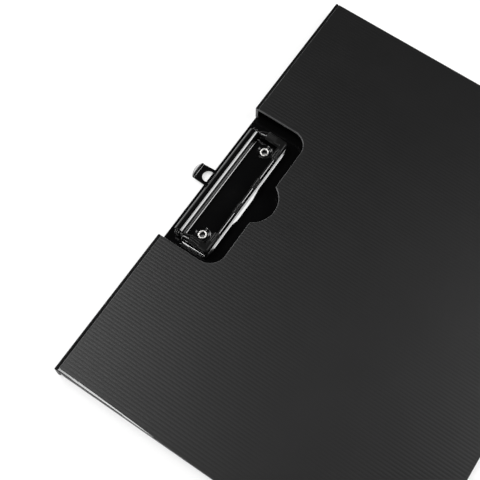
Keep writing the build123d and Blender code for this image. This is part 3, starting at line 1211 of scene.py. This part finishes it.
points, faces, _ = closed_sheet(*make_hook())
hook = place_plain("hook", points, faces, black_steel, "hanger", ("hanger",))
hole_y = clip_edge + hanger_hole_out
cut_discs(hook, [(hanger_offset + hanger_hole_offset, hole_y, 0, 2 * sheet, hanger_hole / 2)])
round_edges(hook, small_bevel, hook_bevel_steps)
shade(hook, metal_sharp)


# Solids that keep their own shape

for node, material in (
    ("hinge_pin", satin_steel),
    ("washer_left", nickel),
    ("washer_right", nickel),
    ("spring_left", spring_steel),
    ("spring_right", spring_steel),
):
    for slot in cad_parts[node].material_slots:
        slot.material = material


# Floor, light and camera

# Lengths are in metres from here on.
floor_reach = 4.0
floor_drop = 0.0002
floor_colour = 0.3
floor_glow = 0.7
# How far the painted contact shadow on the floor reaches, and the occlusion at which it is darkest and at
# which it is gone
contact_reach = 0.006
contact_dark = 0.15
contact_open = 0.5
world_strength = 0.3
# How bright the sky is at some heights over the horizon
sky_levels = ((0.0, 1.0), (0.12, 1.0), (0.3, 0.06), (0.6, 0.008))


def make_floor():
    mesh = bpy.data.meshes.new("floor")
    corners = [(x * floor_reach, y * floor_reach, 0) for x, y in ((-1, -1), (1, -1), (1, 1), (-1, 1))]
    mesh.from_pydata(corners, [], [(0, 1, 2, 3)])
    floor = bpy.data.objects.new("floor", mesh)
    bpy.context.scene.collection.objects.link(floor)
    floor.location.z = -floor_drop
    material, nodes, links = new_material("floor_white")
    nodes.remove(nodes["Principled BSDF"])
    output = nodes["Material Output"]
    diffuse = nodes.new("ShaderNodeBsdfDiffuse")
    diffuse.inputs["Color"].default_value = (floor_colour, floor_colour, floor_colour, 1)
    glow = nodes.new("ShaderNodeEmission")
    # The glow dims where something stands close over the floor, as its daylight would: ambient occlusion
    # paints this contact shadow, also down holes.
    open_sky = nodes.new("ShaderNodeAmbientOcclusion")
    open_sky.inputs["Distance"].default_value = contact_reach
    painted_contact_shadow = nodes.new("ShaderNodeMapRange")
    painted_contact_shadow.inputs["From Min"].default_value = contact_dark
    painted_contact_shadow.inputs["From Max"].default_value = contact_open
    links.new(open_sky.outputs["AO"], painted_contact_shadow.inputs["Value"])
    shaded = nodes.new("ShaderNodeMath")
    shaded.operation = "MULTIPLY"
    links.new(seen_directly(nodes, links, floor_glow), shaded.inputs[0])
    links.new(painted_contact_shadow.outputs["Result"], shaded.inputs[1])
    links.new(shaded.outputs["Value"], glow.inputs["Strength"])
    both = nodes.new("ShaderNodeAddShader")
    links.new(diffuse.outputs["BSDF"], both.inputs[0])
    links.new(glow.outputs["Emission"], both.inputs[1])
    links.new(both.outputs["Shader"], output.inputs["Surface"])
    mesh.materials.append(material)


def seen_directly(nodes, links, strength):
    # The strength for rays from the camera and off gloss, and nothing for other rays.
    path = nodes.new("ShaderNodeLightPath")
    total = path.outputs["Is Camera Ray"]
    for ray in ("Is Glossy Ray", "Is Transmission Ray"):
        larger = nodes.new("ShaderNodeMath")
        larger.operation = "MAXIMUM"
        links.new(total, larger.inputs[0])
        links.new(path.outputs[ray], larger.inputs[1])
        total = larger.outputs["Value"]
    scaled = nodes.new("ShaderNodeMath")
    scaled.operation = "MULTIPLY"
    scaled.inputs[1].default_value = strength
    links.new(total, scaled.inputs[0])
    return scaled.outputs["Value"]


def make_world():
    # The camera sees a white background, and gloss sees a sky that darkens upwards.
    world = bpy.data.worlds.new("studio")
    bpy.context.scene.world = world
    world.use_nodes = True
    nodes, links = world.node_tree.nodes, world.node_tree.links
    place = nodes.new("ShaderNodeTexCoord")
    split = nodes.new("ShaderNodeSeparateXYZ")
    ramp = nodes.new("ShaderNodeValToRGB")
    links.new(place.outputs["Generated"], split.inputs["Vector"])
    links.new(split.outputs["Z"], ramp.inputs["Fac"])
    stops = ramp.color_ramp.elements
    while len(stops) < len(sky_levels):
        stops.new(0.5)
    for stop, (height, level) in zip(stops, sky_levels):
        stop.position = height
        stop.color = (level, level, level, 1)
    background = nodes["Background"]
    path = nodes.new("ShaderNodeLightPath")
    shown = nodes.new("ShaderNodeMath")
    shown.operation = "MAXIMUM"
    shown.inputs[1].default_value = world_strength
    links.new(seen_directly(nodes, links, 1.0), shown.inputs[0])
    links.new(shown.outputs["Value"], background.inputs["Strength"])
    seen = nodes.new("ShaderNodeMix")
    seen.data_type = "RGBA"
    seen.inputs["B"].default_value = (1, 1, 1, 1)
    links.new(path.outputs["Is Camera Ray"], seen.inputs["Factor"])
    links.new(ramp.outputs["Color"], seen.inputs["A"])
    links.new(seen.outputs["Result"], background.inputs["Color"])


def area_light(name, position, target, size, energy):
    # A rectangular lamp that shines from its position towards its target.
    data = bpy.data.lights.new(name, "AREA")
    data.shape = "RECTANGLE"
    data.size, data.size_y = size
    data.energy = energy
    lamp = bpy.data.objects.new(name, data)
    bpy.context.scene.collection.objects.link(lamp)
    lamp.location = position
    aim = Vector(target) - Vector(position)
    lamp.rotation_euler = aim.to_track_quat("-Z", "Y").to_euler()


make_floor()
make_world()
area_light("key", (0.434, -0.73, 0.75), (0.434, 0.1, 0), (0.3, 1.05), 9.7)
area_light("low_key", (0.434, -0.80, 0.57), (0.434, 0.1, 0), (0.3, 0.26), 2.2)
area_light("rear", (-0.3, 1.15, 0.7), (0, 0.1, 0), (0.5, 0.35), 4.5)
area_light("over_clip", (-0.27, 0.43, 1.2), (-0.27, 0.1, 0), (0.35, 0.09), 4.1)
area_light("behind", (0.06, 0.82, 1.1), (0, 0.05, 0), (0.3, 0.3), 8.2)
area_light("right", (0.9, -0.35, 1.1), (0.1, 0, 0), (0.5, 0.5), 0.3)
area_light("left", (-1.03, 0.26, 0.62), (-0.157, 0.08, 0), (0.3, 0.5), 4.5)

# The camera stands where the photograph's perspective puts it.
view = Vector((0.32398, 0.21604, -0.92107))
up = Vector((0.76277, 0.51629, 0.38940))
eye = Vector((-0.21425, -0.05147, 0.54025))
right = view.cross(up).normalized()
up = right.cross(view).normalized()
camera_data = bpy.data.cameras.new("camera")
camera_data.sensor_width = 36.0
camera_data.lens = 69.2
camera = bpy.data.objects.new("camera", camera_data)
bpy.context.scene.collection.objects.link(camera)
turn = Matrix((right, up, -view)).transposed().to_4x4()
camera.matrix_world = Matrix.Translation(eye) @ turn
bpy.context.scene.camera = camera
bpy.context.scene.view_settings.view_transform = "Standard"
